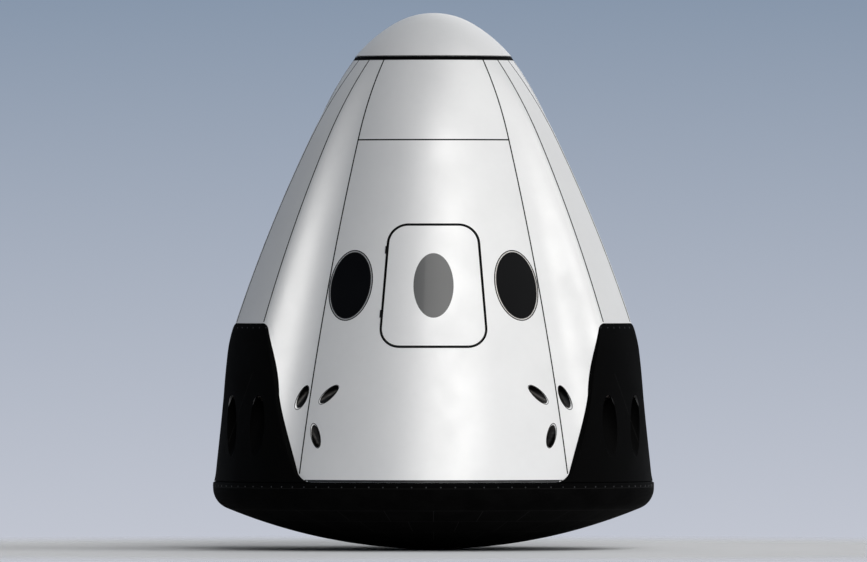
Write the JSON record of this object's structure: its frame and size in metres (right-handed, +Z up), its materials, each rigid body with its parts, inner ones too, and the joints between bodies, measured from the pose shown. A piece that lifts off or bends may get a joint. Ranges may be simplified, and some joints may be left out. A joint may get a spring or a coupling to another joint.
{
  "type": "crew capsule",
  "caption": "Ogive crew capsule on a convex heat shield, with engine pods, windows, a hinged side hatch, a hinged nose cone over a docking port and an inner forward hatch.",
  "frame": {"origin": "lowest point of the heat shield, on the hull's axis", "axes": "+Z up along the hull's axis, side hatch facing -Y, +X to the right of someone facing the hatch"},
  "size_m": [3.9998, 3.9998, 4.862],
  "materials": {
    "white_hull": "satin",
    "black_hull": "satin",
    "heat_shield": "matt",
    "dark_glass": "polished",
    "window_frame": "satin",
    "nozzle_metal": "satin",
    "bare_metal": "satin",
    "seat_fabric": "woven",
    "frame_metal": "satin",
    "display": "gloss",
    "cabin_lining": "satin"
  },
  "bodies": {
    "hull": {"heat_shield": "heat_shield", "base_ring": "black_hull", "front_panel": "white_hull", "rear_panel": "white_hull", "left_side_panel": "white_hull", "right_side_panel": "white_hull", "front_parachute_cover": "white_hull", "rear_parachute_cover": "white_hull", "pod_cover_front_left": "white_hull", "pod_cover_front_right": "white_hull", "pod_cover_rear_left": "white_hull", "pod_cover_rear_right": "white_hull", "front_pod_flanks": "white_hull", "rear_pod_flanks": "white_hull", "engine_fairing_front_left": "black_hull", "engine_fairing_front_right": "black_hull", "engine_fairing_rear_left": "black_hull", "engine_fairing_rear_right": "black_hull", "engine_nozzles": "nozzle_metal", "side_thrusters": "nozzle_metal", "window_frames": "window_frame", "window_glass": "dark_glass", "nose_ring": "black_hull", "forward_bulkhead": "bare_metal", "docking_tunnel": "bare_metal", "docking_ring": "bare_metal", "forward_thrusters": "nozzle_metal", "cabin_floor": "cabin_lining", "cabin_ceiling": "cabin_lining", "propellant_tanks": "frame_metal", "control_display": "display", "seat_frame": "frame_metal", "seat_pans": "seat_fabric", "seat_backs": "seat_fabric", "headrests": "seat_fabric", "hatch_hinge_lugs": "bare_metal", "nose_hinge_lugs": "bare_metal", "forward_hatch_lugs": "bare_metal"},
    "side_hatch": {"side_hatch": "white_hull", "hatch_window": "dark_glass", "hatch_hinge_leaves": "bare_metal"},
    "nose_cone": {"nose_cone": "white_hull", "nose_hinge_arms": "bare_metal"},
    "forward_hatch": {"forward_hatch": "bare_metal", "forward_hatch_arms": "bare_metal"}
  },
  "joints": [
    {"name": "side_hatch_hinge", "type": "hinge", "parent": "hull", "child": "side_hatch", "pos_m": [-0.44388, -1.47022, 2.39], "axis": [-0.0813, -0.2691, -0.9597], "range_deg": [0, 115]},
    {"name": "nose_cone_hinge", "type": "hinge", "parent": "hull", "child": "nose_cone", "pos_m": [0, 0.742, 4.475], "axis": [-1, 0, 0], "range_deg": [0, 110]},
    {"name": "forward_hatch_hinge", "type": "hinge", "parent": "hull", "child": "forward_hatch", "pos_m": [0, 0.455, 3.68], "axis": [1, 0, 0], "range_deg": [0, 90]}
  ]
}
